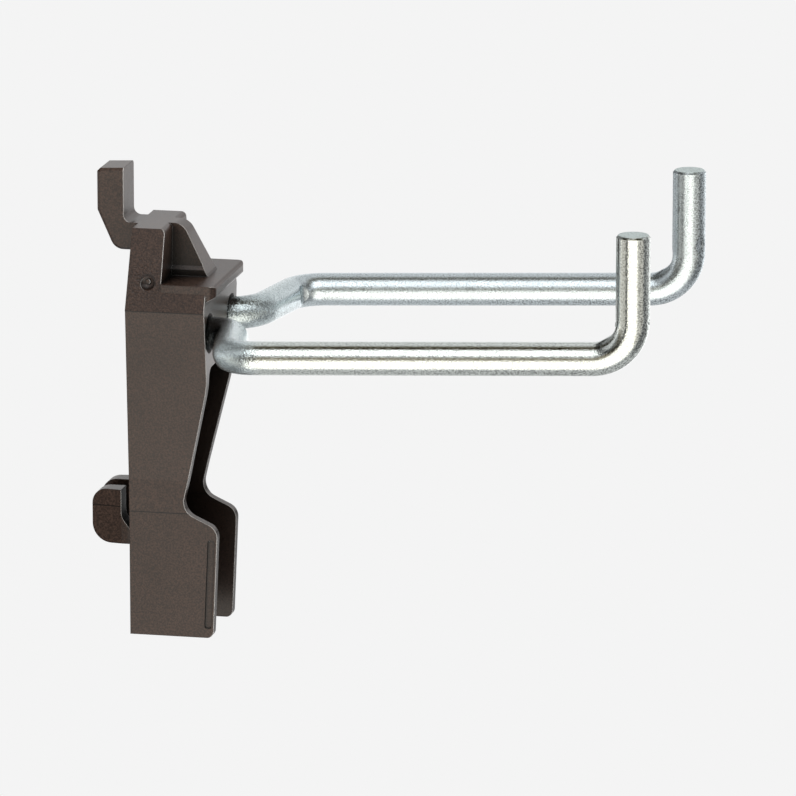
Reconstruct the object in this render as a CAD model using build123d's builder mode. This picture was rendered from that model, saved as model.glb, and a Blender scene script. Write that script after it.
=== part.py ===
from build123d import *
import math
import os

# A double-prong tool holder for a perforated panel, in millimetres.
# The origin is the centre of the upper panel hole on the panel's front face.
# X points out of the panel, Y to the side and Z up.

# Panel that the holder hangs in
hole_pitch = 38.0
hole_size = 9.2
sheet_thickness = 1.25

# Hook that passes through the upper hole
hook_width = 6.1
hook_thickness = 3.9
hook_top = 12.2
hook_top_fall = 0.15
hook_play = 0.1
hook_back_chamfer = 0.45
hook_edge_chamfer = 0.35
hook_inner_radius = 1.1
shank_height = 3.95
shank_play = 0.25
heel_rise = 5.65
heel_run = 2.5
heel_radius = 1.9

# Wire with its two prongs
wire_diameter = 4.75
base_spacing = 13.2
base_flat = 0.8
jog_reach = 3.25
jog_angle = 78.5
jog_bend = 4.5
prong_spacing = 45.3
prong_reach = 75.5
prong_slope = 2.65
tip_level = 10.1
tip_bend = 5.8
tip_chamfer = 0.3

# Block that grips the wire
socket_level = -10.3
socket_clearance = 0.08
room_flats = 8
socket_run = 1.8
socket_wall = 1.15
back_wall = 1.5
block_floor = 2.6
mouth_depth = 0.9
mouth_margin = 0.45

# Boss, fin and shelf above the block
boss_depth = 5.45
boss_top_width = 12.6
boss_corner = 0.7
boss_lean = 0.7
crease_drop = 11.2
crease_step = 0.12
shelf_drop = 7.4
shelf_width = 18.6
lip_overhang = 1.4
lip_thickness = 1.6
lip_undercut = 0.7
lip_nose_radius = 0.55
lip_corner_radius = 1.2
fin_width = 3.6
fin_draft = 5.0
fin_top_reach = 1.55
fin_foot_reach = 5.35
fin_radius = 2.2
step_width = 5.7
step_rise = 0.95
step_slope = 40.0
gate_diameter = 1.9
gate_depth = 0.4
gate_pip_diameter = 0.7
gate_reach = 3.5
gate_drop = 7.15

# Spring legs with their finger pads
leg_wall = 1.5
leg_step = 2.2
leg_straight_rise = 6.3
flange_thickness = 2.0
channel_radius = 1.6
split_width = 3.4
split_bridge = 2.2
knee_drop = 7.5
knee_radius = 12.0
waist_rise = 1.8
waist_depth = 7.63
waist_radius = 2.5
shoulder_drop = 0.65
shoulder_depth = 12.9
shoulder_radius = 2.0
pad_length = 16.65
pad_foot_depth = 12.2
pad_corner_radius = 1.0
pad_line_rise = 1.5
pad_step = 0.12
groove_width = 1.0
groove_depth = 0.25
groove_inset = 0.35
groove_head = 1.65
groove_margin = 0.4
groove_corner_radius = 0.33

# Snap lug for the lower hole
lug_drop = 0.35
lug_height = 7.9
lug_reach = 6.1
lug_top_radius = 2.2
lug_bottom_radius = 2.8
lug_fit = 0.05
slot_height = 6.6
slot_rise = 2.6
slot_radius = 2.2
slot_gap = 0.45
lug_taper = 0.6
seat_relief = 0.15
seat_margin = 0.6

# Places that follow from the sizes above
wire_radius = wire_diameter / 2
room_radius = wire_radius + socket_clearance
base_bend = (base_spacing - base_flat) / 2
base_half = base_spacing / 2
prong_half = prong_spacing / 2
base_depth = back_wall + room_radius
block_depth = base_depth + base_bend + socket_run
block_bottom = socket_level - room_radius - block_floor

shank_top = hole_size / 2 - shank_play
shank_bottom = shank_top - shank_height
hook_front = -sheet_thickness - hook_play
hook_back = hook_front - hook_thickness

boss_half = boss_top_width / 2
flare_half = base_half + room_radius + socket_wall
crease_half = flare_half - crease_step
crease_level = shank_top - crease_drop
shelf_level = shank_top - shelf_drop
lip_depth = block_depth + lip_overhang

lug_level = -hole_pitch - lug_drop
lug_top = lug_level + lug_height / 2
lug_bottom = lug_level - lug_height / 2
split_half = split_width / 2
foot_half = hole_size / 2 - lug_fit
slot_back = -sheet_thickness - slot_gap

leg_half = foot_half + leg_step
leg_straight_level = lug_level + leg_straight_rise
leg_bottom = lug_level - pad_length
waist_level = lug_level + waist_rise
shoulder_level = lug_level - shoulder_drop
pad_line_level = lug_level + pad_line_rise
pad_half = leg_half - pad_step
knee_level = socket_level - knee_drop


def leg_half_at(level):
    """Half width over the legs where they close in from the crease to their straight part."""
    share = (crease_level - level) / (crease_level - leg_straight_level)
    return crease_half + (leg_half - crease_half) * share


def head_half_at(level):
    """Half width of the boss where it flares from its top to the crease."""
    return boss_half + (flare_half - boss_half) * (shank_top - level) / crease_drop


def pad_front_at(level):
    """Distance from the panel to the front edge of a finger pad."""
    share = (shoulder_level - level) / (shoulder_level - leg_bottom)
    return shoulder_depth + (pad_foot_depth - shoulder_depth) * share


def wire_level(depth):
    """Height of the rising wire at a distance from the panel."""
    return socket_level + (depth - block_depth) * math.tan(math.radians(prong_slope))


# Centre line of the wire, from one tip to the other
jog_start = block_depth + jog_reach
jog_end = jog_start + (prong_half - base_half) / math.tan(math.radians(jog_angle))
arm = [
    (base_depth, base_half, wire_level(base_depth)),
    (jog_start, base_half, wire_level(jog_start)),
    (jog_end, prong_half, wire_level(jog_end)),
    (prong_reach, prong_half, wire_level(prong_reach)),
    (prong_reach, prong_half, tip_level),
]
other_arm = [(x, -y, z) for x, y, z in arm]
arm_bends = [base_bend, jog_bend, jog_bend, tip_bend]

with BuildLine() as wire_route:
    FilletPolyline(*reversed(other_arm), *arm, radius=[*reversed(arm_bends), *arm_bends])
wire_end = Plane(origin=wire_route.line @ 0, z_dir=wire_route.line % 0)

# Wire, one bent length with flat cut tips
with BuildPart() as prong_wire:
    with BuildSketch(wire_end):
        Circle(wire_radius)
    sweep(path=wire_route.line)
    tips = prong_wire.faces().filter_by(Plane.XY)
    chamfer(tips.edges(), tip_chamfer)

# Hook, standing up behind the panel
with BuildPart() as hook:
    with BuildSketch(Plane.XZ):
        with BuildLine():
            FilletPolyline(
                (boss_depth / 2, shank_bottom),
                (boss_depth / 2, shank_top),
                (hook_front, shank_top),
                (hook_front, hook_top),
                (hook_back + hook_back_chamfer, hook_top - hook_top_fall),
                (hook_back, hook_top - hook_top_fall - hook_back_chamfer),
                (hook_back, shank_bottom + heel_rise),
                (hook_back + heel_run, shank_bottom),
                radius=[0, 0, hook_inner_radius, 0, 0, 0, 0, heel_radius],
                close=True,
            )
        make_face()
    extrude(amount=hook_width / 2, both=True)
    heel_foot = hook_back + heel_run
    outer_faces = hook.faces().filter_by(Axis.Y, reverse=True)
    outer_faces = outer_faces.filter_by(lambda face: face.center().X < heel_foot)
    chamfer(outer_faces.edges().filter_by(Axis.Y, reverse=True), hook_edge_chamfer)

# Fin between the boss and the shelf, stepped out at its foot
with BuildPart() as fin:
    with BuildSketch(Plane.XZ):
        with BuildLine():
            FilletPolyline(
                (boss_depth / 2, shelf_level - lip_thickness / 2),
                (boss_depth / 2, shank_top),
                (boss_depth + fin_top_reach, shank_top),
                (boss_depth + fin_foot_reach, shelf_level),
                (boss_depth + fin_foot_reach, shelf_level - lip_thickness / 2),
                radius=[0, 0, fin_radius, 0, 0],
                close=True,
            )
        make_face()
    fin_foot_half = fin_width / 2 + shelf_drop * math.tan(math.radians(fin_draft))
    step_half = step_width / 2
    slope_rise = (step_half - fin_foot_half) / math.tan(math.radians(step_slope))
    extrude(amount=step_half, both=True)
    section_half = [
        (fin_width / 2, shank_top),
        (fin_foot_half, shelf_level + step_rise + slope_rise),
        (step_half, shelf_level + step_rise),
        (step_half, shelf_level - lip_thickness),
    ]
    with BuildSketch(Plane.YZ):
        with BuildLine():
            Polyline(*section_half, *[(-y, z) for y, z in reversed(section_half)], close=True)
        make_face()
    extrude(amount=lip_depth, mode=Mode.INTERSECT)

# Shelf with a rounded front lip
with BuildPart() as shelf:
    with BuildSketch(Plane.XZ):
        with BuildLine():
            FilletPolyline(
                (boss_depth, shelf_level),
                (lip_depth, shelf_level),
                (lip_depth, shelf_level - lip_thickness),
                (block_depth, shelf_level - lip_thickness - lip_undercut),
                (boss_depth, shelf_level - lip_thickness - lip_undercut),
                radius=[0, lip_nose_radius, lip_nose_radius, 0, 0],
                close=True,
            )
        make_face()
    extrude(amount=shelf_width / 2, both=True)
    with BuildSketch(Plane.XY.offset(shelf_level)):
        with Locations(((boss_depth + lip_depth) / 2, 0)):
            outline = Rectangle(lip_depth - boss_depth, shelf_width)
        fillet(outline.vertices().group_by(Axis.X)[-1], lip_corner_radius)
    extrude(amount=-2 * (lip_thickness + lip_undercut), mode=Mode.INTERSECT)

# One tab of the snap lug, slotted behind its catch
with BuildPart() as lug_tab:
    with BuildSketch(Plane.XY.offset(lug_bottom)):
        with BuildLine():
            Polyline(
                (flange_thickness / 2, split_half),
                (-lug_reach, split_half),
                (-lug_reach, foot_half - lug_taper),
                (slot_back, foot_half),
                (flange_thickness / 2, foot_half),
                close=True,
            )
        make_face()
    extrude(amount=lug_height)
    with BuildSketch(Plane.XZ):
        with BuildLine():
            FilletPolyline(
                (flange_thickness / 2, lug_bottom),
                (flange_thickness / 2, lug_top),
                (-lug_reach, lug_top),
                (-lug_reach, lug_bottom),
                radius=[0, 0, lug_top_radius, lug_bottom_radius],
                close=True,
            )
        make_face()
    extrude(amount=-foot_half, mode=Mode.INTERSECT)
    with BuildSketch(Plane.XZ):
        with BuildLine():
            FilletPolyline(
                (seat_relief, lug_top),
                (slot_back, lug_top),
                (slot_back, lug_top - slot_height + slot_rise),
                (seat_relief, lug_top - slot_height),
                radius=[0, 0, slot_radius, 0],
                close=True,
            )
        make_face()
    extrude(amount=-foot_half, mode=Mode.SUBTRACT)

# Clip moulding, the side outline cut to the front outline
with BuildPart() as clip_body:
    with BuildSketch(Plane.XZ):
        with BuildLine():
            FilletPolyline(
                (boss_lean, shank_top),
                (boss_depth, shank_top),
                (boss_depth, shelf_level),
                (block_depth, shelf_level),
                (block_depth, knee_level),
                (waist_depth, waist_level),
                (shoulder_depth, shoulder_level),
                (pad_foot_depth, leg_bottom),
                (0, leg_bottom),
                (0, leg_straight_level),
                radius=[
                    0,
                    boss_corner,
                    0,
                    0,
                    knee_radius,
                    waist_radius,
                    shoulder_radius,
                    pad_corner_radius,
                    0,
                    0,
                ],
                close=True,
            )
        make_face()
    extrude(amount=flare_half, both=True)
    front_half = [
        (boss_half, shank_top),
        (flare_half, crease_level),
        (crease_half, crease_level),
        (leg_half, leg_straight_level),
        (leg_half, pad_line_level),
        (pad_half, pad_line_level),
        (pad_half, leg_bottom),
    ]
    with BuildSketch(Plane.YZ):
        with BuildLine():
            Polyline(*front_half, *[(-y, z) for y, z in reversed(front_half)], close=True)
        make_face()
    extrude(amount=lip_depth, mode=Mode.INTERSECT)

    # Channel between the legs, open to the front and below
    channel_half = [
        (leg_half_at(block_bottom) - leg_wall, block_bottom),
        (leg_half - leg_wall, leg_straight_level),
        (leg_half - leg_wall, leg_bottom),
    ]
    channel_bends = [channel_radius, 0, 0]
    with BuildSketch(Plane.YZ.offset(flange_thickness)):
        with BuildLine():
            FilletPolyline(
                *channel_half,
                *[(-y, z) for y, z in reversed(channel_half)],
                radius=[*channel_bends, *reversed(channel_bends)],
                close=True,
            )
        make_face()
    extrude(amount=lip_depth, mode=Mode.SUBTRACT)

    # Split down the back, so that the legs can be pinched
    split_top = block_bottom - split_bridge - split_half
    with BuildSketch(Plane.YZ):
        with Locations((0, (split_top + leg_bottom) / 2)):
            Rectangle(split_width, split_top - leg_bottom)
        with Locations((0, split_top)):
            Circle(split_half)
    extrude(amount=flange_thickness, mode=Mode.SUBTRACT)

    # Relief round the root of the lug, so that the pads seat flat on the panel
    with BuildSketch(Plane.YZ):
        with Locations((0, lug_level)):
            Rectangle(2 * (foot_half + seat_margin), lug_height + 2 * seat_margin)
    extrude(amount=seat_relief, mode=Mode.SUBTRACT)

    add(hook.part)
    add(shelf.part)
    add(fin.part)
    add(lug_tab.part)
    add(lug_tab.part.mirror(Plane.XZ))

    # Room for the wire, with flats that grip it and a wider mouth at the front face
    with BuildSketch(wire_end):
        RegularPolygon(room_radius, round(room_flats), major_radius=False)
    sweep(path=wire_route.line, mode=Mode.SUBTRACT)
    front_plane = Plane(origin=(block_depth, 0, socket_level), x_dir=(0, 1, 0), z_dir=(-1, 0, 0))
    with BuildSketch(front_plane):
        with Locations((-base_half, 0), (base_half, 0)):
            Circle(room_radius + mouth_margin)
    mouth_taper = math.degrees(math.atan(mouth_margin / mouth_depth))
    extrude(amount=2 * mouth_depth, taper=mouth_taper, mode=Mode.SUBTRACT)

    # Finger groove down the outer face of each pad
    groove_top = shoulder_level - groove_head
    groove_foot = leg_bottom + pad_corner_radius + groove_margin
    for side in (-1, 1):
        with BuildSketch(Plane.XZ.offset(side * pad_half)):
            with BuildLine():
                FilletPolyline(
                    (pad_front_at(groove_foot) - groove_inset, groove_foot),
                    (pad_front_at(groove_top) - groove_inset, groove_top),
                    (pad_front_at(groove_top) - groove_inset - groove_width, groove_top),
                    (pad_front_at(groove_foot) - groove_inset - groove_width, groove_foot),
                    radius=groove_corner_radius,
                    close=True,
                )
            make_face()
        extrude(amount=-side * groove_depth, mode=Mode.SUBTRACT)

    # Gate mark on one side of the boss, a shallow dish with a pip in it
    gate_level = shank_top - gate_drop
    gate_sphere = (gate_diameter**2 / 4 + gate_depth**2) / (2 * gate_depth)
    gate_floor = gate_depth - head_half_at(gate_level)
    with Locations((gate_reach, gate_floor - gate_sphere, gate_level)):
        Sphere(gate_sphere, mode=Mode.SUBTRACT)
    with BuildSketch(Plane.XZ.offset(-gate_floor - gate_depth)):
        with Locations((gate_reach, gate_level)):
            Circle(gate_pip_diameter / 2)
    extrude(amount=3 * gate_depth / 2)

prong_wire.part.label = "prong_wire"
clip_body.part.label = "clip_body"
os.makedirs("parts", exist_ok=True)
export_step(prong_wire.part, "parts/prong_wire.step")
export_step(clip_body.part, "parts/clip_body.step")
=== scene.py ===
# %% [markdown]
# # A double-prong tool holder
# The holder is a dark plastic clip with one bent, zinc-plated wire in it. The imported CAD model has
# its shape and its place already, so it is loaded first and everything else is fitted round it.
# Lengths are in metres in the CAD model's own frame: X points out of the panel and Z points up.

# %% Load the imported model
import math

import bmesh
import bpy
from mathutils import Matrix, Vector


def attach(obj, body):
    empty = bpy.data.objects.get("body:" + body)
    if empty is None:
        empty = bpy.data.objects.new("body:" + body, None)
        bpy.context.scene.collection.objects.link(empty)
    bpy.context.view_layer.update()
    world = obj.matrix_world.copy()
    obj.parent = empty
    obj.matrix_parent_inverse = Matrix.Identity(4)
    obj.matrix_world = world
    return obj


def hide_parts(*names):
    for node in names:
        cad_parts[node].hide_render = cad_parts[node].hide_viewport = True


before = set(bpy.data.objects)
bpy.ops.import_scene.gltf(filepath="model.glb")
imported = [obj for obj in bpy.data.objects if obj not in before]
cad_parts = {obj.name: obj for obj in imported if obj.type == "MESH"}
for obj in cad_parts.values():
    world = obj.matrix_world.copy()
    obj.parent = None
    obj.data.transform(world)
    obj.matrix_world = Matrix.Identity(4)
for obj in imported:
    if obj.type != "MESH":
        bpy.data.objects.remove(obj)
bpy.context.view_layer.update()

MM = 0.001
scene = bpy.context.scene
print("CAD nodes:", sorted(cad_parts))

# %% [markdown]
# ## Camera
# The photograph was taken with a long lens from far away, a little above the prongs and a little
# towards their tips. A long lens keeps the two prongs almost parallel. The camera is placed by its
# two angles and its distance from the point in the middle of the picture.

# %% Place the camera
PICTURE_SIZE = 796
FOCAL_PIXELS = 7250.0
PIXELS_PER_METRE = 7050.0
CAMERA_AZIMUTH = math.radians(12.0)
CAMERA_ELEVATION = math.radians(13.4)
PICTURE_CENTRE = Vector((37.75, 0.0, -20.0)) * MM

away = Vector((
    math.sin(CAMERA_AZIMUTH) * math.cos(CAMERA_ELEVATION),
    -math.cos(CAMERA_AZIMUTH) * math.cos(CAMERA_ELEVATION),
    math.sin(CAMERA_ELEVATION),
))
camera_distance = FOCAL_PIXELS / PIXELS_PER_METRE
camera_data = bpy.data.cameras.new("picture_camera")
camera_data.sensor_width = 36.0
camera_data.lens = FOCAL_PIXELS / PICTURE_SIZE * camera_data.sensor_width
camera = bpy.data.objects.new("picture_camera", camera_data)
camera.location = PICTURE_CENTRE + away * camera_distance
camera.rotation_euler = (-away).to_track_quat("-Z", "Y").to_euler()
scene.collection.objects.link(camera)
scene.camera = camera
print("Lens in mm:", round(camera_data.lens, 1), "distance in m:", round(camera_distance, 3))

# %% [markdown]
# ## Helpers for node trees
# A world or a material is a tree of nodes, joined from socket to socket. Added one at a time they
# make long code, so each of these helpers adds one common node. They take sockets or plain numbers
# and give back the socket with the answer, so that the lines further down read like small formulas.

# %% Helpers that add nodes
def feed(tree, socket, value):
    """Links a socket to another one, or sets it to a plain value."""
    if isinstance(value, bpy.types.NodeSocket):
        tree.links.new(value, socket)
    else:
        socket.default_value = value


def add_node(tree, kind, inputs=None, **settings):
    """Adds a node, sets its properties, and feeds its inputs, which are given by name or number."""
    node = tree.nodes.new(kind)
    for name, value in settings.items():
        setattr(node, name, value)
    for name, value in (inputs or {}).items():
        feed(tree, node.inputs[name], value)
    return node


def axes_of(tree, vector):
    """The X, Y and Z sockets of a vector."""
    return add_node(tree, "ShaderNodeSeparateXYZ", inputs={0: vector}).outputs


def noise(tree, place, scale, detail, roughness=0.5):
    """A cloudy pattern from 0 to 1, with about so many clouds to each unit of length."""
    values = {"Vector": place, "Scale": scale, "Detail": detail, "Roughness": roughness}
    return add_node(tree, "ShaderNodeTexNoise", inputs=values).outputs["Fac"]


print("Helpers that add nodes:", [helper.__name__ for helper in (feed, add_node, axes_of, noise)])

# %% Helpers that work out values
def remap(tree, value, low, high, to_low=0.0, to_high=1.0, smooth=False):
    """Maps one range of a value to another and holds it at both ends."""
    ends = {"From Min": low, "From Max": high, "To Min": to_low, "To Max": to_high}
    curve = "SMOOTHSTEP" if smooth else "LINEAR"
    values = {"Value": value, **ends}
    return add_node(tree, "ShaderNodeMapRange", interpolation_type=curve, inputs=values).outputs[0]


def below(tree, value, low, high):
    """A mask that is 1 up to a low value and falls to 0 at a high one."""
    return remap(tree, value, low, high, 1.0, 0.0)


def calc(tree, operation, *values):
    """One sum with sockets or numbers."""
    numbered = dict(enumerate(values))
    return add_node(tree, "ShaderNodeMath", operation=operation, inputs=numbered).outputs[0]


def product(tree, first, *others):
    """Several masks multiplied together."""
    for other in others:
        first = calc(tree, "MULTIPLY", first, other)
    return first


def vector_calc(tree, operation, first, second):
    """A number worked out from two vectors."""
    node = add_node(tree, "ShaderNodeVectorMath", operation=operation, inputs={0: first, 1: second})
    return node.outputs["Value"]


def between(tree, share, first, second):
    """A number between two others, by a share."""
    values = {"Factor": share, "A": first, "B": second}
    return add_node(tree, "ShaderNodeMix", data_type="FLOAT", inputs=values).outputs["Result"]


value_helpers = (remap, below, calc, product, vector_calc, between)
print("Helpers for values:", [helper.__name__ for helper in value_helpers])

# %% Helpers that work out colours
def look_up(tree, value, stops):
    """A colour ramp: each stop is a place from 0 to 1 and a grey or a colour."""
    node = add_node(tree, "ShaderNodeValToRGB", inputs={"Fac": value})
    ramp = node.color_ramp
    while len(ramp.elements) > 1:
        ramp.elements.remove(ramp.elements[-1])
    for index, (place, colour) in enumerate(stops):
        element = ramp.elements[0] if index == 0 else ramp.elements.new(place)
        element.position = place
        colour = (colour,) * 3 if isinstance(colour, (int, float)) else colour
        element.color = (*colour, 1.0)
    return node.outputs["Color"]


def blend(tree, share, first, second, mode="MIX"):
    """Two colours mixed by a share."""
    values = {"Factor": share, "A": first, "B": second}
    node = add_node(tree, "ShaderNodeMix", data_type="RGBA", blend_type=mode, inputs=values)
    return node.outputs["Result"]


def shaded(tree, colour, shade):
    """A colour multiplied by a shade."""
    return blend(tree, 1.0, colour, shade, "MULTIPLY")


def either(tree, share, first, second):
    """Two shaders mixed by a share."""
    return add_node(tree, "ShaderNodeMixShader", inputs={0: share, 1: first, 2: second}).outputs[0]


def empty_tree(owner):
    """The node tree of a world or a material, with nothing in it yet."""
    owner.use_nodes = True
    owner.node_tree.nodes.clear()
    return owner.node_tree


colour_helpers = (look_up, blend, shaded, either, empty_tree)
print("Helpers for colours:", [helper.__name__ for helper in colour_helpers])

# %% [markdown]
# ## Studio
# The object stands before an even pale background, with a white tent round it. Cycles can show a
# different world to each kind of ray: the camera sees the plain background, matt surfaces get an
# even fill light, and shiny metal sees the tent with its narrow dark gaps. Those gaps are what draws
# the thin dark lines along a polished wire, so they matter more here than the lamps do.

# %% Start the world
world = bpy.data.worlds.new("white_tent")
scene.world = world
scene.view_settings.view_transform = "Standard"
tree = empty_tree(world)
direction = add_node(tree, "ShaderNodeTexCoord").outputs["Generated"]
along, across, up = axes_of(tree, direction)
print("World:", world.name)

# %% [markdown]
# ### Tent
# Seen from the end of the prongs, the tent is a ring of cloth round them. Each row gives a height
# angle and how bright the cloth is there: 0 is level in front, 90 is overhead and -90 is below. Rows
# set one by one were easier to fit to the bands on the wire than lamps would be. A second ramp darkens
# the tent towards its sides, from left to right.

# %% Rows and sides of the tent
WARM_WHITE = (1.55, 1.48, 1.38)
GAP_IN_FRONT = (0.39, 0.35, 0.27)
GAP_OVERHEAD = (0.06, 0.048, 0.028)
TENT_ROWS = [
    (-180, 0.8), (-172, 1.3), (-157, 1.3), (-148, 0.7), (-140, 0.66), (-120, 0.62), (-84, 0.54),
    (-74, 0.52), (-66, 0.85), (-58, WARM_WHITE), (-8, WARM_WHITE), (-2, (0.85, 0.8, 0.73)),
    (4, (0.40, 0.36, 0.28)), (13, GAP_IN_FRONT), (22, 0.55), (28, 0.72), (34, 1.5), (65, 1.5),
    (72, 0.85), (78, (0.36, 0.33, 0.27)), (83, GAP_OVERHEAD), (95, GAP_OVERHEAD),
    (101, (0.36, 0.34, 0.29)), (110, 0.62), (125, 0.72), (145, 0.55), (162, 0.95), (172, 0.95),
]
TENT_SIDES = [
    (0.0, 1.0), (0.03, 0.45), (0.14, 0.42), (0.175, 0.4), (0.195, 0.1), (0.265, 0.1), (0.32, 1.0),
    (0.77, 1.0), (0.81, 0.62), (0.85, 0.48), (0.9, 0.42), (1.0, 0.42),
]

height_angle = calc(tree, "ARCTAN2", up, calc(tree, "MULTIPLY", across, -1.0))
height_share = remap(tree, height_angle, -math.pi, math.pi)
rows = look_up(tree, height_share, [(degrees / 360 + 0.5, cloth) for degrees, cloth in TENT_ROWS])
sides = look_up(tree, remap(tree, along, -1.0, 1.0), TENT_SIDES)
tent = shaded(tree, rows, sides)
print("Tent rows:", len(TENT_ROWS), "sides:", len(TENT_SIDES))

# %% [markdown]
# ### Folds and the three worlds
# Folds in the cloth leave white cloth white and break its grey parts into light and dark. A Gamma
# node does just that, since a power of 1 stays 1. The Light Path node then tells each ray apart.

# %% Fold the tent and join the world
BACKGROUND = 0.905
FILL_LIGHT = 0.08
FOLDS_ROUND = 13.0
FOLD_DEPTHS = (0.35, 2.1)
NOISE_RANGE = (0.3, 0.7)
WHITE = (1, 1, 1, 1)

folds = noise(tree, direction, FOLDS_ROUND, 1.0)
fold_depth = remap(tree, folds, *NOISE_RANGE, *FOLD_DEPTHS)
folded = add_node(tree, "ShaderNodeGamma", inputs={"Color": tent, "Gamma": fold_depth}).outputs[0]
fill_light, backdrop, tent_light = [
    add_node(tree, "ShaderNodeBackground", inputs={"Color": colour, "Strength": strength}).outputs[0]
    for colour, strength in ((WHITE, FILL_LIGHT), (WHITE, BACKGROUND), (folded, 1.0))
]
ray = add_node(tree, "ShaderNodeLightPath").outputs
straight_through = calc(tree, "MAXIMUM", ray["Is Camera Ray"], ray["Is Transmission Ray"])
reflected = either(tree, ray["Is Glossy Ray"], fill_light, tent_light)
shown = either(tree, straight_through, reflected, backdrop)
add_node(tree, "ShaderNodeOutputWorld", inputs={"Surface": shown})
world.cycles.sampling_method = "NONE"
print("World nodes:", len(tree.nodes))

# %% [markdown]
# ### Lamps
# Three soft lamps shape the matt plastic: a key lamp on the left, one above, and one that fills the
# front. A metal wire would show each lamp as a hard spot, so they are hidden from shiny rays, and the
# wire sees only the tent.

# %% Add the lamps
LAMPS = {
    "key_lamp": ((-0.85, -0.85, 0.4), 0.5, 13.0),
    "top_lamp": ((0.1, -0.1, 1.1), 0.6, 6.0),
    "front_lamp": ((1.2, -0.3, 0.25), 0.6, 9.0),
}

for name, (place, size, power) in LAMPS.items():
    lamp_data = bpy.data.lights.new(name, "AREA")
    lamp_data.energy = power
    lamp_data.size = size
    lamp = bpy.data.objects.new(name, lamp_data)
    lamp.location = place
    lamp.rotation_euler = (PICTURE_CENTRE - lamp.location).to_track_quat("-Z", "Y").to_euler()
    lamp.visible_glossy = False
    scene.collection.objects.link(lamp)
print("Lamps:", list(LAMPS))

# %% [markdown]
# ## Floor
# A round patch of pale floor lies well below the holder, which really hangs in a panel. It carries a
# soft shadow in views from above, and it fades out at its rim, so no edge shows on the background.

# %% Make the floor
FLOOR_LEVEL = -0.25
FLOOR_RADIUS = 0.45
FADE_START = 0.3 * FLOOR_RADIUS
FLOOR_SIDES = 96
FLOOR_COLOUR = (0.9, 0.9, 0.9, 1)

floor_mesh = bpy.data.meshes.new("floor")
disc = bmesh.new()
bmesh.ops.create_circle(disc, cap_ends=True, radius=FLOOR_RADIUS, segments=FLOOR_SIDES,
                        matrix=Matrix.Translation((PICTURE_CENTRE.x, 0, FLOOR_LEVEL)))
disc.to_mesh(floor_mesh)
disc.free()
floor = bpy.data.objects.new("floor", floor_mesh)
scene.collection.objects.link(floor)
floor.visible_glossy = False
print("Floor sides:", FLOOR_SIDES)

# %% Finish the floor
floor_finish = bpy.data.materials.new("pale_floor")
tree = empty_tree(floor_finish)
spot = add_node(tree, "ShaderNodeTexCoord").outputs["Object"]
from_middle = vector_calc(tree, "DISTANCE", spot, (PICTURE_CENTRE.x, 0, FLOOR_LEVEL))
fade = remap(tree, from_middle, FADE_START, FLOOR_RADIUS, smooth=True)
paint = add_node(tree, "ShaderNodeBsdfDiffuse", inputs={"Color": FLOOR_COLOUR}).outputs[0]
clear = add_node(tree, "ShaderNodeBsdfTransparent").outputs[0]
add_node(tree, "ShaderNodeOutputMaterial", inputs={"Surface": either(tree, fade, paint, clear)})
floor_mesh.materials.append(floor_finish)
print("Floor radius in m:", FLOOR_RADIUS)

# %% [markdown]
# ## Clip plastic
# The clip is moulded from a dark, warm grey plastic. Seen straight on it is nearly brown, and at a
# flat angle it turns pale, because even a matt plastic mirrors the white tent there. That comes from
# the shader by itself. One flat colour would look like a toy, so the nodes add what a mould leaves,
# and they also paint shade into the hollows, creases and leg fronts and paint highlights on the front
# edges. First come slight clouds in the colour and a fine, even grain.

# %% Start the plastic
PLASTIC_COLOUR = Vector((0.038, 0.023, 0.017))
CLOUD_DEPTH = 0.14
CLOUD_SCALE, GRAIN_SCALE = 160.0, 3800.0
GRAIN_SHADES = [(0.36, 0.5), (0.5, 1.0), (0.64, 1.6)]


def start_finish(name):
    """Starts a material with one shader, and gives it with its tree, shader and coordinates."""
    finish = bpy.data.materials.new(name)
    tree = empty_tree(finish)
    shader = add_node(tree, "ShaderNodeBsdfPrincipled")
    add_node(tree, "ShaderNodeOutputMaterial", inputs={"Surface": shader.outputs[0]})
    return finish, tree, shader.inputs, add_node(tree, "ShaderNodeTexCoord").outputs


plastic, tree, shader, coordinates = start_finish("moulded_plastic")
clouds = noise(tree, coordinates["Object"], CLOUD_SCALE, 3.0, 0.6)
grain = noise(tree, coordinates["Object"], GRAIN_SCALE, 2.0, 0.6)
cloud_colours = (PLASTIC_COLOUR * (1 - CLOUD_DEPTH), PLASTIC_COLOUR * (1 + CLOUD_DEPTH))
colour = look_up(tree, clouds, list(zip(NOISE_RANGE, cloud_colours)))
colour = shaded(tree, colour, look_up(tree, grain, GRAIN_SHADES))
print("Plastic:", plastic.name)

# %% [markdown]
# ### Painted shade in hollows and creases
# The channel between the legs is almost black, so shade is painted into it, and a thin painted shade
# darkens every fine crease. The Ambient Occlusion node tells how open a spot is within a distance. A
# long distance finds the channel, and a short one finds the creases. A lamp can't do this, because
# the channel faces the bright front.

# %% Paint shade into the hollows and creases
CHANNEL_REACH = 25.0 * MM
CREASE_REACH = 0.8 * MM
CHANNEL_SHADES = [(0.42, 0.03), (0.62, 0.6), (0.82, 1.0)]
CREASE_SHADES = [(0.5, 0.15), (0.75, 0.6), (0.93, 1.0)]


def openness(tree, distance):
    """How open the surface is within a distance: 1 in the open, and less in a hollow."""
    reach = {"Distance": distance}
    node = add_node(tree, "ShaderNodeAmbientOcclusion", samples=8, only_local=True, inputs=reach)
    return node.outputs["AO"]


# Painted shade: the colour is darkened where the surface is closed in.
channel_shade = look_up(tree, openness(tree, CHANNEL_REACH), CHANNEL_SHADES)
crease_shade = look_up(tree, openness(tree, CREASE_REACH), CREASE_SHADES)
for shade in (channel_shade, crease_shade):
    colour = shaded(tree, colour, shade)
print("Reach of hollows and creases in mm:", CHANNEL_REACH / MM, CREASE_REACH / MM)
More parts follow.
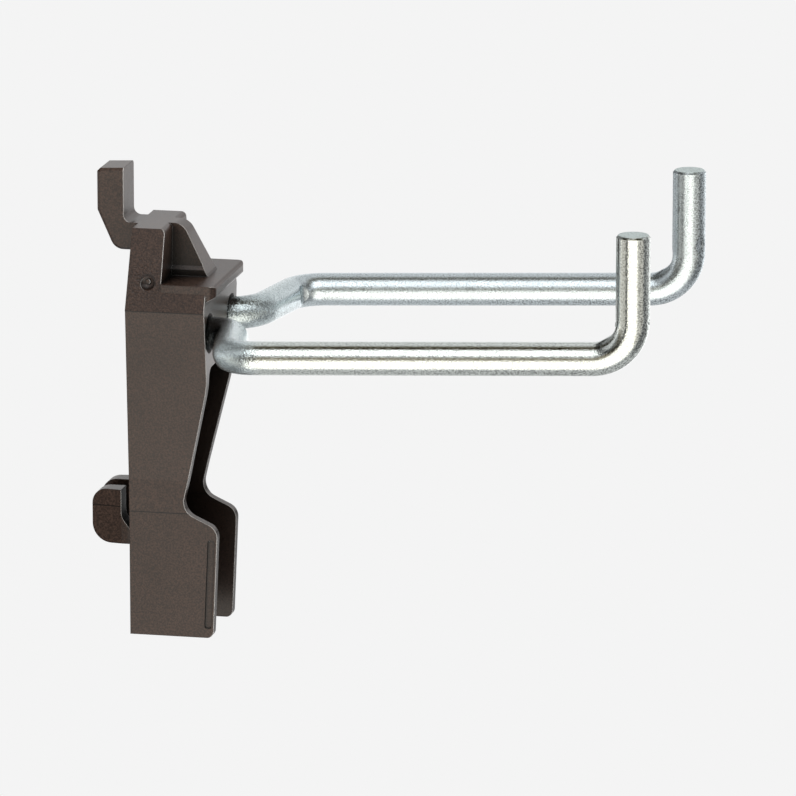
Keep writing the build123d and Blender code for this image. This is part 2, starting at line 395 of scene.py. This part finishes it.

# %% [markdown]
# ### Gate and mould lines
# The gate is the small dish where the plastic went into the mould. Its rim is dark, and a ramp over
# the distance from its middle draws that ring. Where the halves of the mould step, a small ledge runs
# across each side of the clip, and the thin shadow under it is painted: spots at those levels that
# face sideways are darkened.

# %% Draw the gate ring and paint the shadow under the mould steps
GATE_PLACE = Vector((3.5, -8.8, -2.8)) * MM
GATE_REACH = 2.0 * MM
GATE_RING = [(0.35, 1.0), (0.42, 0.35), (0.55, 0.35), (0.62, 1.0)]
MOULD_LINES = (-6.85 * MM, -36.85 * MM)
LINE_HALF_WIDTH = 0.09 * MM
STEP_SHADOW_SHADE = (0.2, 0.2, 0.2, 1)

at_x, _, at_z = axes_of(tree, coordinates["Object"])
facing_x, facing_y, facing_z = axes_of(tree, coordinates["Normal"])
from_gate = vector_calc(tree, "DISTANCE", coordinates["Object"], GATE_PLACE)
gate_share = calc(tree, "MULTIPLY", from_gate, 1 / GATE_REACH)
colour = shaded(tree, colour, look_up(tree, gate_share, GATE_RING))
sideways = calc(tree, "ABSOLUTE", facing_y)
# Painted shadow under each small mould step.
for level in MOULD_LINES:
    in_step_shadow = product(tree, calc(tree, "COMPARE", at_z, level, LINE_HALF_WIDTH), sideways)
    colour = blend(tree, in_step_shadow, colour, STEP_SHADOW_SHADE, "MULTIPLY")
print("Mould lines in mm:", [round(level / MM, 2) for level in MOULD_LINES])

# %% [markdown]
# ### Edges, with painted highlights and shade
# A pale highlight is painted along the front edges of the clip, where their rounding would catch the
# light, and shade is painted on the front faces of the legs. A Bevel node gives the normal of a
# rounded edge. Where that leaves the true normal, there is an edge, so their dot product makes a mask
# without a painted texture. Along the finger groove shade is painted on the edge instead.

# %% Paint shade on the leg fronts and the groove edge, and find the edges
FORWARD_FACING = (0.7, 0.9)
LEG_FRONT_SHADE = 0.4
GROOVE_EDGE_SHADE = 0.1
EDGE_RADIUS = 0.22 * MM
EDGE_BEND = (0.86, 0.97)
LEG_TOP = (-18.0 * MM, -14.5 * MM)
GROOVE_SIDE = (11.6 * MM, 11.7 * MM)
GROOVE_TOP = (-40.5 * MM, -40.0 * MM)

forward = remap(tree, facing_x, *FORWARD_FACING)
leg_front = product(tree, forward, below(tree, at_z, *LEG_TOP))
# Painted shade on the front faces of the legs.
colour = shaded(tree, colour, between(tree, leg_front, 1.0, LEG_FRONT_SHADE))
edge_normal = add_node(tree, "ShaderNodeBevel", samples=8, inputs={"Radius": EDGE_RADIUS}).outputs[0]
true_normal = add_node(tree, "ShaderNodeNewGeometry").outputs["True Normal"]
edge = below(tree, vector_calc(tree, "DOT_PRODUCT", edge_normal, true_normal), *EDGE_BEND)
beside_groove = product(tree, below(tree, at_x, *GROOVE_SIDE), below(tree, at_z, *GROOVE_TOP))
groove_edge = product(tree, edge, beside_groove)
# Painted shade on the edge beside the finger groove.
colour = shaded(tree, colour, between(tree, groove_edge, 1.0, GROOVE_EDGE_SHADE))
print("Edge radius in mm:", EDGE_RADIUS / MM)

# %% Paint highlights on the front edges
EDGE_HIGHLIGHT_COLOUR = (0.85, 0.82, 0.78, 1)
EDGE_FORWARD = (0.15, 0.4)
EDGE_SIDEWAYS = (-0.4, -0.15)

edge_x, edge_y, _ = axes_of(tree, edge_normal)
edge_front = remap(tree, edge_x, *EDGE_FORWARD)
edge_side = below(tree, edge_y, *EDGE_SIDEWAYS)
off_groove = calc(tree, "SUBTRACT", 1.0, beside_groove)
# Painted highlight along the front edges, where a rounded edge would catch the light.
painted_edge_highlight = product(tree, edge, edge_front, edge_side, off_groove, crease_shade, channel_shade)
colour = blend(tree, painted_edge_highlight, colour, EDGE_HIGHLIGHT_COLOUR)
feed(tree, shader["Base Color"], colour)
print("Nodes for the colour:", len(tree.nodes))

# %% [markdown]
# ### Shine
# The same plastic shines differently from face to face. The sides of the snap lug, the shelf and the
# leg fronts lie in shade, so each mirrors less, which paints that shade into their reflection. The
# hook's front face came from a rough part of the mould and is duller. Masks of place and direction
# pick these faces out.

# %% Set how strongly each face mirrors
PLAIN_MIRROR = 0.5
LUG_MIRROR = 0.22
SHELF_MIRROR = 0.22
LEG_FRONT_MIRROR = 0.03
LUG_ROOT = (-1.0 * MM, -0.2 * MM)
LUG_TOP = (-25.0 * MM, -20.0 * MM)
SHELF_MIDDLE, SHELF_HALF = -4.3 * MM, 1.6 * MM
UPWARD_FACING = (0.5, 0.8)

upward = remap(tree, facing_z, *UPWARD_FACING)
not_upward = below(tree, facing_z, *UPWARD_FACING)
lug_side = product(tree, below(tree, at_x, *LUG_ROOT), below(tree, at_z, *LUG_TOP), not_upward)
shelf_band = calc(tree, "COMPARE", at_z, SHELF_MIDDLE, SHELF_HALF)
shaded_shelf_faces = product(tree, calc(tree, "MAXIMUM", upward, forward), shelf_band)
# Lower mirror levels paint shade on the lug sides, the shelf and the leg fronts.
mirror = between(tree, lug_side, PLAIN_MIRROR, LUG_MIRROR)
mirror = between(tree, shaded_shelf_faces, mirror, SHELF_MIRROR)
mirror = between(tree, leg_front, mirror, LEG_FRONT_MIRROR)
feed(tree, shader["Specular IOR Level"], mirror)
print("Mirror levels:", PLAIN_MIRROR, LUG_MIRROR, SHELF_MIRROR, LEG_FRONT_MIRROR)

# %% Set the gloss and the grain in relief
HOOK_FOOT = (2.5 * MM, 3.5 * MM)
PLASTIC_ROUGHNESS = (0.24, 0.36)
HOOK_ROUGHER = 0.1
ROUGH_ROUND_GATE = (1.0 * MM, 5.0 * MM)
CORNER_RADIUS = 0.16 * MM
GRAIN_HEIGHT = 0.05 * MM
PLAIN_GRAIN_SHARE = 0.14

hook_front = product(tree, forward, remap(tree, at_z, *HOOK_FOOT))
gloss = remap(tree, grain, 0.0, 1.0, *PLASTIC_ROUGHNESS)
feed(tree, shader["Roughness"], calc(tree, "MULTIPLY_ADD", hook_front, HOOK_ROUGHER, gloss))
near_gate = remap(tree, from_gate, *ROUGH_ROUND_GATE, 1.0, PLAIN_GRAIN_SHARE, smooth=True)
rounded = add_node(tree, "ShaderNodeBevel", samples=6, inputs={"Radius": CORNER_RADIUS}).outputs[0]
relief = add_node(tree, "ShaderNodeBump", inputs={
    "Strength": calc(tree, "MAXIMUM", near_gate, hook_front),
    "Distance": GRAIN_HEIGHT,
    "Height": grain,
    "Normal": rounded,
})
feed(tree, shader["Normal"], relief.outputs[0])

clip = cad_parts["clip_body"]
clip.data.materials.clear()
clip.data.materials.append(plastic)
print("Plastic on:", clip.name, "with nodes:", len(tree.nodes))

# %% [markdown]
# ## Zinc-plated wire
# The wire is a single drawn rod, bent cold. In Blender it could be a curve with a round bevel, but
# the bending tools left marks that need a mesh to press them into. So a circle is pulled along each
# straight run and spun round each bend, just as the wire went round its bending pins. One arm is
# made and mirrored, which also gives the closed end that sits inside the clip.

# %% Sizes and corners of the wire
WIRE_RADIUS = 2.375 * MM
PRONG_SLOPE = math.tan(math.radians(2.65))
BASE_DEPTH, BASE_HALF = 3.955 * MM, 6.6 * MM
SOCKET_DEPTH, SOCKET_LEVEL = 11.955 * MM, -10.3 * MM
JOG_START, JOG_END = 15.205 * MM, 18.470 * MM
PRONG_REACH, PRONG_HALF = 75.5 * MM, 22.65 * MM
BASE_BEND, JOG_BEND, TIP_BEND = 6.2 * MM, 4.5 * MM, 5.8 * MM
TIP_LEVEL = 10.1 * MM
TIP_CHAMFER = 0.3 * MM
WIRE_SIDES = 64
RUN_STEP = 0.24 * MM


def on_slope(depth, side):
    """A point of the wire's sloping plane, from its distance to the panel and to the middle."""
    return Vector((depth, side, SOCKET_LEVEL + (depth - SOCKET_DEPTH) * PRONG_SLOPE))


tip_foot = on_slope(PRONG_REACH, PRONG_HALF)
corners = [
    on_slope(BASE_DEPTH, BASE_HALF),
    on_slope(JOG_START, BASE_HALF),
    on_slope(JOG_END, PRONG_HALF),
    tip_foot,
]
corner_bends = [BASE_BEND, JOG_BEND, JOG_BEND, TIP_BEND]
arm_start = on_slope(BASE_DEPTH, 0.0)
arm_end = Vector((tip_foot.x, tip_foot.y, TIP_LEVEL))
print("Corners of one arm:", len(corners))

# %% [markdown]
# ### Pull and spin
# Two operators make the whole arm. Extruding the open ring of edges and moving it on gives a straight
# run, and a spin about the bend's own axis gives a bend. Small even steps leave enough points for the
# tool marks that come later.

# %% Helpers that pull and turn the wire
def points_of(ring):
    """The points on a ring of edges, each once."""
    return list(dict.fromkeys(point for edge in ring for point in edge.verts))


def last_ring(geometry):
    """The edges of a new ring out of what an operator returns."""
    points = {g for g in geometry if isinstance(g, bmesh.types.BMVert)}
    return [g for g in geometry if isinstance(g, bmesh.types.BMEdge) and set(g.verts) <= points]


def pull(mesh, ring, offset):
    """Pulls an open ring along a straight run in even steps and returns the last ring."""
    steps = max(1, round(offset.length / RUN_STEP))
    for _ in range(steps):
        made = bmesh.ops.extrude_edge_only(mesh, edges=ring)["geom"]
        ring = last_ring(made)
        bmesh.ops.translate(mesh, verts=points_of(ring), vec=offset / steps)
    return ring


def turn(mesh, ring, centre, axis, angle, radius):
    """Spins an open ring round a bend and returns the last ring."""
    steps = max(8, round(angle * radius / RUN_STEP))
    turned = points_of(ring) + ring
    made = bmesh.ops.spin(mesh, geom=turned, cent=centre, axis=axis, angle=angle, steps=steps)
    return last_ring(made["geom_last"])


print("Steps of a run in mm:", RUN_STEP / MM)

# %% Pull and spin the arm
wire = bmesh.new()
facing = Matrix.Translation(arm_start) @ Vector((0, 1, 0)).to_track_quat("Z", "X").to_matrix().to_4x4()
bmesh.ops.create_circle(wire, radius=WIRE_RADIUS, segments=WIRE_SIDES, matrix=facing)
ring = wire.edges[:]
here = arm_start
bends = []
for corner, radius, beyond in zip(corners, corner_bends, corners[1:] + [arm_end]):
    coming = (corner - here).normalized()
    leaving = (beyond - corner).normalized()
    angle = coming.angle(leaving)
    bend_start = corner - coming * radius * math.tan(angle / 2)
    axis = coming.cross(leaving).normalized()
    centre = bend_start + axis.cross(coming) * radius
    ring = pull(wire, ring, bend_start - here)
    ring = turn(wire, ring, centre, axis, angle, radius)
    here = corner + leaving * radius * math.tan(angle / 2)
    bends.append((centre, axis, (corner - centre).normalized(), radius))
print("Bends of one arm:", len(bends))

# %% [markdown]
# ### Cut end and mirror
# The end of the wire is cut flat with a small chamfer, which is one more ring, moved up and scaled
# in. Mirroring with a merge distance joins the two arms in the middle. Spin and mirror can turn faces
# inside out, so the normals are worked out afresh. Extruding may list the new faces in another order
# each time, so they are sorted by their points, and every run gives the same mesh.

# %% Close the tip and mirror the arm
MERGE_DISTANCE = 1e-6

ring = pull(wire, ring, arm_end - here - Vector((0, 0, TIP_CHAMFER)))
ring = last_ring(bmesh.ops.extrude_edge_only(wire, edges=ring)["geom"])
rim = points_of(ring)
rim_scale = 1 - TIP_CHAMFER / WIRE_RADIUS
bmesh.ops.translate(wire, verts=rim, vec=(0, 0, TIP_CHAMFER))
bmesh.ops.scale(wire, verts=rim, vec=(rim_scale, rim_scale, 1), space=Matrix.Translation(-arm_end))
bmesh.ops.contextual_create(wire, geom=ring)
whole_arm = wire.verts[:] + wire.edges[:] + wire.faces[:]
bmesh.ops.mirror(wire, geom=whole_arm, axis="Y", merge_dist=MERGE_DISTANCE)
bmesh.ops.recalc_face_normals(wire, faces=wire.faces[:])
print("Wire points:", len(wire.verts), "faces:", len(wire.faces))

# %% Sort the faces
def face_rank(face):
    """A number for a face that depends only on which points it joins."""
    places = sorted(point.index for point in face.verts)
    return places[0] * len(wire.verts) + places[-1]


wire.verts.index_update()
wire.faces.sort(key=face_rank)
wire.faces.index_update()
print("Faces sorted:", len(wire.faces))

# %% [markdown]
# ### Marks of the bending tools
# A pin on the inside of the second jog bend and of the tip bend presses a small flat into the wire.
# Pushing every point out of the pin's own round gives that flat with the right outline. The jaw that
# held the ends while they were turned up left a dent on the outside of each upright, which a ball
# presses in the same way. On the near upright it also raised a little lip inside.

# %% Press the pin marks
JOG_PIN_RADIUS, JOG_PIN_DEPTH, JOG_PIN_TURN = 1.35 * MM, 0.5 * MM, math.radians(-50)
TIP_PIN_RADIUS, TIP_PIN_DEPTH, TIP_PIN_TURN = 2.4 * MM, 0.3 * MM, math.radians(22)


def press_pin(bend, pin_radius, depth, turned):
    """Presses a round pin into the inside of a bend, on both arms, and counts the points moved."""
    centre, axis, outward, radius = bend
    spot = outward.copy()
    spot.rotate(Matrix.Rotation(turned, 3, axis))
    pin = centre + spot * (radius - WIRE_RADIUS + depth - pin_radius)
    moved = 0
    for flip in (Vector((1, 1, 1)), Vector((1, -1, 1))):
        pin_axis = axis * flip
        for point in wire.verts:
            offset = point.co - pin * flip
            offset -= pin_axis * offset.dot(pin_axis)
            if offset.length < pin_radius:
                point.co += offset.normalized() * (pin_radius - offset.length)
                moved += 1
    return moved


*_, second_jog, tip_bend = bends
pressed = press_pin(second_jog, JOG_PIN_RADIUS, JOG_PIN_DEPTH, JOG_PIN_TURN)
pressed += press_pin(tip_bend, TIP_PIN_RADIUS, TIP_PIN_DEPTH, TIP_PIN_TURN)
print("Points pressed by the pins:", pressed)

# %% Press the jaw marks
JAW_DENTS = [
    (Vector((0.99, -0.14, 0)), -PRONG_HALF, -2.1 * MM, 0.9 * MM, 0.2 * MM),
    (Vector((0.85, -0.53, 0)), PRONG_HALF, -0.6 * MM, 2.6 * MM, 0.3 * MM),
]
LIP_LEVEL = -2.5 * MM
LIP_REACH = 1.0 * MM
LIP_HEIGHT = 0.32 * MM

pressed = 0
for toward, side, level, ball_radius, depth in JAW_DENTS:
    ball = Vector((tip_foot.x, side, level)) + toward * (WIRE_RADIUS + ball_radius - depth)
    for point in wire.verts:
        offset = point.co - ball
        if offset.length < ball_radius:
            point.co += offset.normalized() * (ball_radius - offset.length)
            pressed += 1
lip = Vector((tip_foot.x - WIRE_RADIUS, -tip_foot.y, LIP_LEVEL))
for point in wire.verts:
    share = 1 - ((point.co - lip).length / LIP_REACH) ** 2
    if share > 0:
        point.co.x -= LIP_HEIGHT * share ** 2
        pressed += 1
print("Points pressed by the jaws:", pressed)

# %% Keep the wire
SHARP_ANGLE = math.radians(35)

wire_mesh = bpy.data.meshes.new("bent_wire")
wire.to_mesh(wire_mesh)
wire.free()
wire_mesh.shade_smooth()
wire_mesh.set_sharp_from_angle(angle=SHARP_ANGLE)
bent_wire = bpy.data.objects.new("bent_wire", wire_mesh)
scene.collection.objects.link(bent_wire)
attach(bent_wire, "root")
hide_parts("prong_wire")
print("Wire triangles:", sum(len(p.vertices) - 2 for p in wire_mesh.polygons))

# %% [markdown]
# ## Zinc plating
# Bright zinc is a nearly white metal with a cool tint. It is bright along the prongs, dull where the
# bends lay beside the clip in the bath, and bare and dull where the ends were sheared off. A painted
# texture would need a picture, so masks of place say how dull each spot is, and noise breaks them up.

# %% Start the plating
ARM_SIDES = (-20.0 * MM, 20.0 * MM)
FAR_ARM_SHIFT = 4.0 * MM
DULL_END = (20.0 * MM, 24.0 * MM)
SHEARED_LEVEL = (10.0 * MM, 10.08 * MM)
FROST_SCALE, MOTTLE_SCALE, PATCH_SCALE = 4200.0, 1700.0, 420.0

zinc, tree, shader, coordinates = start_finish("bright_zinc")
at_x, at_y, at_z = axes_of(tree, coordinates["Object"])
frost = noise(tree, coordinates["Object"], FROST_SCALE, 2.0)
mottle = noise(tree, coordinates["Object"], MOTTLE_SCALE, 3.0)
patches = noise(tree, coordinates["Object"], PATCH_SCALE, 3.0)
far_arm = remap(tree, at_y, *ARM_SIDES)
from_clip = calc(tree, "MULTIPLY_ADD", far_arm, FAR_ARM_SHIFT, at_x)
dull = remap(tree, from_clip, *DULL_END, 1.0, 0.0, smooth=True)
sheared = remap(tree, at_z, *SHEARED_LEVEL)
print("Plating:", zinc.name)

# %% [markdown]
# ### Film and gloss
# A whitish film lies on the dull bends, so they aren't all metal, and a slightly lower Metallic lets
# some plain white through. The gloss changes in soft patches. The far prong is a little duller than
# the near one, and the sheared ends are the dullest.

# %% Film and gloss of the plating
NEAR_FILM, FAR_FILM = 0.8, 0.86
FILM_START = (15.0 * MM, 18.0 * MM)
BRIGHT_ROUGHNESS = (0.04, 0.1)
FAR_ROUGHER = 0.2
DULL_ROUGHNESS = 0.15
SHEARED_ROUGHNESS = 0.5

film = product(tree, dull, remap(tree, at_x, *FILM_START))
film_metal = between(tree, far_arm, NEAR_FILM, FAR_FILM)
feed(tree, shader["Metallic"], between(tree, film, 1.0, film_metal))
gloss = remap(tree, patches, *NOISE_RANGE, *BRIGHT_ROUGHNESS)
gloss = calc(tree, "MULTIPLY_ADD", far_arm, FAR_ROUGHER, gloss)
gloss = between(tree, dull, gloss, DULL_ROUGHNESS)
gloss = between(tree, sheared, gloss, SHEARED_ROUGHNESS)
feed(tree, shader["Roughness"], gloss)
print("Roughness of the dull part and the ends:", DULL_ROUGHNESS, SHEARED_ROUGHNESS)

# %% [markdown]
# ### Tint and painted shade
# The near prong has a faint yellow-green tint and the far one a blue tint, as thin passivation films
# have. Beside the block, shade is painted on the near arm, where it mirrors the dark plastic. Mixing a
# few tints by the same masks keeps the colour and the gloss in step.

# %% Tint of the plating and painted shade beside the block
NEAR_TINT, FAR_TINT = (0.83, 0.88, 0.85, 1), (0.79, 0.88, 0.92, 1)
DULL_TINT, SHEARED_TINT = (0.74, 0.84, 0.86, 1), (0.8, 0.9, 0.89, 1)
BLOCK_SHADE_END = (14.4 * MM, 15.9 * MM)
BLOCK_SHADE = 0.25

tint = blend(tree, far_arm, NEAR_TINT, FAR_TINT)
tint = blend(tree, dull, tint, DULL_TINT)
tint = blend(tree, sheared, tint, SHEARED_TINT)
# Painted shade on the near arm beside the block, where it mirrors the dark plastic.
block_shade = remap(tree, at_x, *BLOCK_SHADE_END, BLOCK_SHADE, 1.0)
tint = shaded(tree, tint, between(tree, far_arm, block_shade, 1.0))
print("Shade ends in mm:", [round(end / MM, 1) for end in BLOCK_SHADE_END])

# %% [markdown]
# ### Speckle
# Zinc grows in tiny crystals. Most of the wire has a fine, pale speckle. Underneath, on the outside of
# the upright ends, and in a patch where the dull part of the near arm ends, the speckle is painted
# coarse and dark: there the grains mirror bright and dark parts of the tent, so this is partly real
# grain and partly painted reflection. One noise feeds two ramps, a fine one and a strong one, and a
# mask chooses between them.

# %% Speckle of the plating
COARSE_RUN = (25.0 * MM, 70.0 * MM)
OUTSIDE_FACING = (0.35, 0.7)
FRONT_FACING = (-0.8, -0.6)
FINE_SHADES = [(0.36, 0.7), (0.5, 0.95), (0.64, 1.0)]
STRONG_SHADES = [(0.4, 0.3), (0.5, 0.78), (0.58, 1.0)]
PATCH_BAND = [(0.44, 0.0), (0.54, 1.0), (0.68, 1.0), (0.76, 0.0)]
PATCH_RUN = [(0.0, 0.0), (0.25, 1.0), (0.95, 1.0), (1.0, 0.0)]

facing_x, facing_y, facing_z = axes_of(tree, coordinates["Normal"])
outside = calc(tree, "MAXIMUM", facing_x, calc(tree, "MULTIPLY", facing_z, -1.0))
coarse = product(tree, remap(tree, outside, *OUTSIDE_FACING), remap(tree, at_x, *COARSE_RUN))
frontal = below(tree, facing_y, *FRONT_FACING)
patch_band = look_up(tree, remap(tree, facing_z, -1.0, 1.0), PATCH_BAND)
patch = product(tree, look_up(tree, dull, PATCH_RUN), frontal, patch_band)
coarse = calc(tree, "MAXIMUM", coarse, between(tree, far_arm, patch, 0.0))
fine_speckle = look_up(tree, frost, FINE_SHADES)
dark_reflected_speckle = look_up(tree, frost, STRONG_SHADES)
# Where the mask is high, the speckle is partly real grain and partly painted reflection.
speckle = blend(tree, coarse, fine_speckle, dark_reflected_speckle)
feed(tree, shader["Base Color"], shaded(tree, tint, speckle))
print("Coarse speckle grows from and to, in mm:", [round(end / MM) for end in COARSE_RUN])

# %% [markdown]
# ### Frost in relief
# The crystals also stand up a little, which breaks the edge of every reflection into crisp specks. A
# bump does that without any more faces. It is deeper on the dull bends, over a coarser mottle.

# %% Frost of the plating in relief
MOTTLE_HEIGHT = 0.05 * MM
FROST_HEIGHT = 0.07 * MM
BRIGHT_FROST_SHARE = 0.36

mottled = add_node(tree, "ShaderNodeBump", inputs={
    "Strength": dull,
    "Distance": MOTTLE_HEIGHT,
    "Height": mottle,
})
frosted = add_node(tree, "ShaderNodeBump", inputs={
    "Strength": remap(tree, dull, 0.0, 1.0, BRIGHT_FROST_SHARE, 1.0),
    "Distance": FROST_HEIGHT,
    "Height": frost,
    "Normal": mottled.outputs[0],
})
feed(tree, shader["Normal"], frosted.outputs[0])
wire_mesh.materials.append(zinc)
print("Plating on:", bent_wire.name, "with nodes:", len(tree.nodes))
